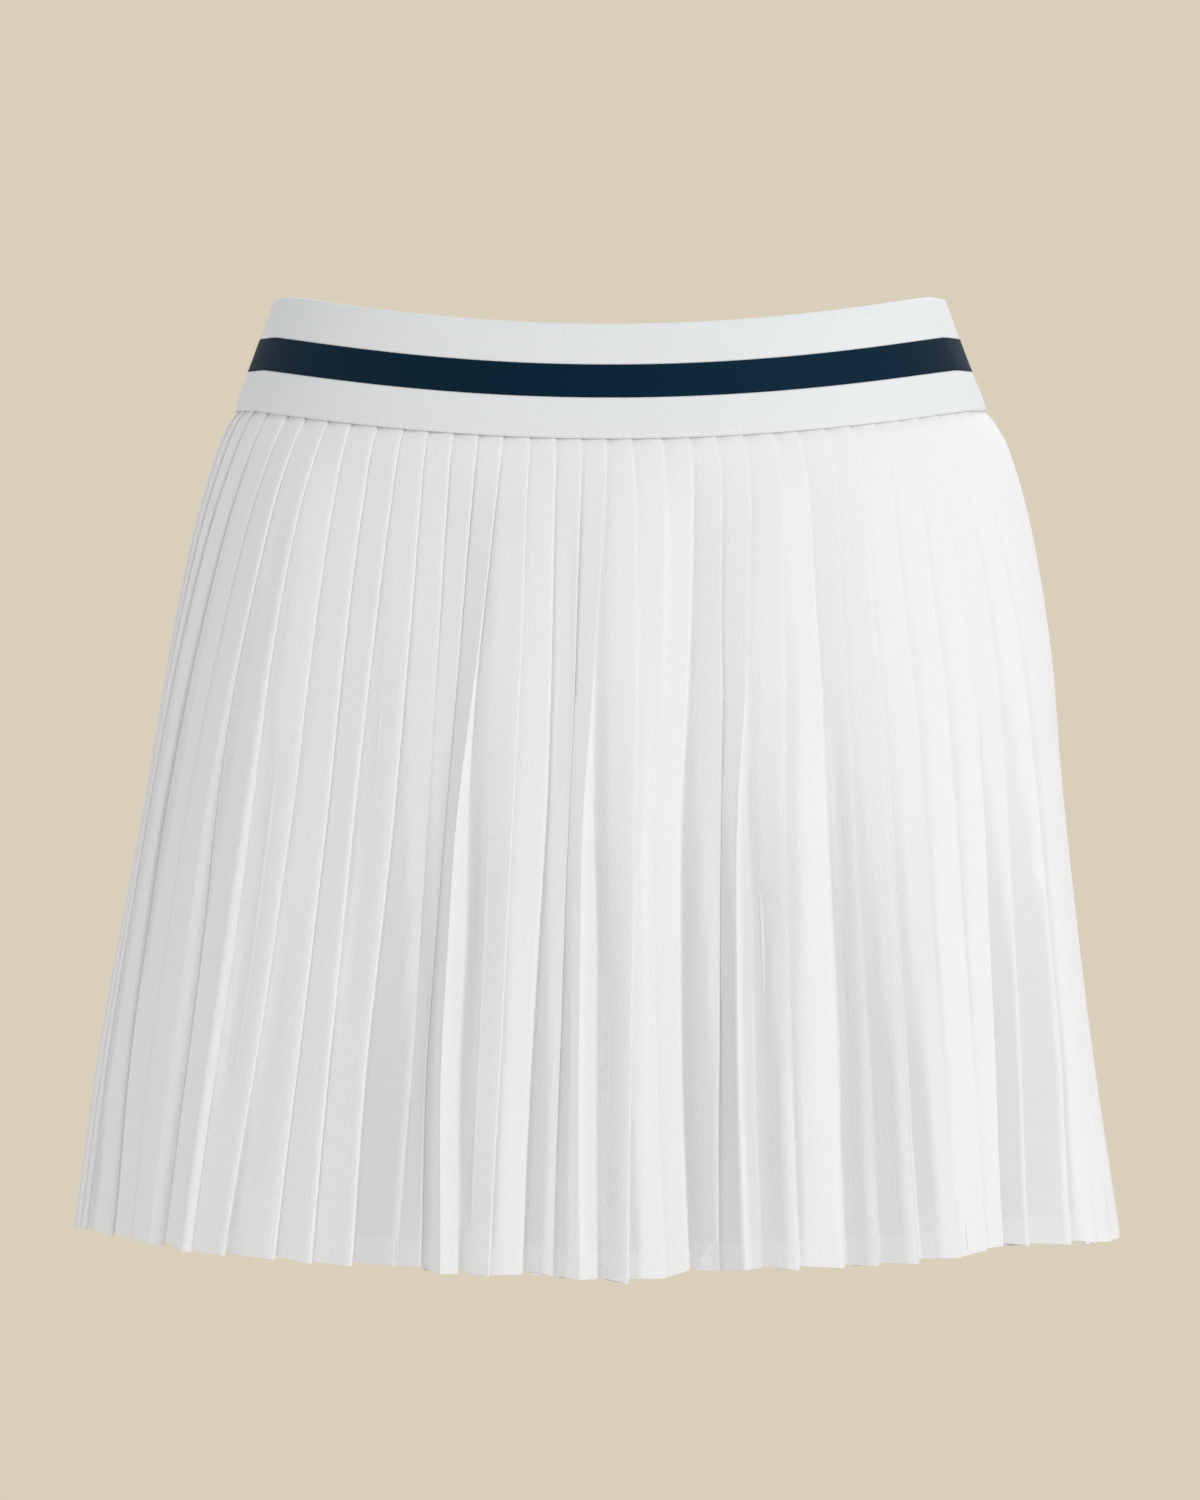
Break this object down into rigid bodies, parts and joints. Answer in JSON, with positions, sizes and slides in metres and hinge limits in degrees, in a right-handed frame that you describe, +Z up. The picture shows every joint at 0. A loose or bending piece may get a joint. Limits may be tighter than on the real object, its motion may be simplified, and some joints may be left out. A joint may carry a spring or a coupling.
{
  "type": "pleated skort",
  "caption": "Short knife-pleated skort in white cloth on a wide elastic waistband with a navy stripe, with plain inner shorts, filled out as if worn.",
  "frame": {"origin": "centre of the waist's top edge at the sides' height, where the wearer holds the garment", "axes": "+Z up, -Y the wearer's front, +X the wearer's left"},
  "size_m": [0.426, 0.3307, 0.3964],
  "materials": {
    "white_elastic": "ribbed woven elastic, matt",
    "navy_twill": "fine diagonal twill, slight sheen",
    "white_poplin": "pressed plain weave, matt",
    "white_jersey": "fine knit, soft sheen"
  },
  "bodies": {
    "root": {"waistband": "white_elastic", "waistband_stripe": "navy_twill", "skirt_front": "white_poplin", "skirt_back": "white_poplin", "shorts_left": "white_jersey", "shorts_right": "white_jersey"}
  },
  "joints": []
}
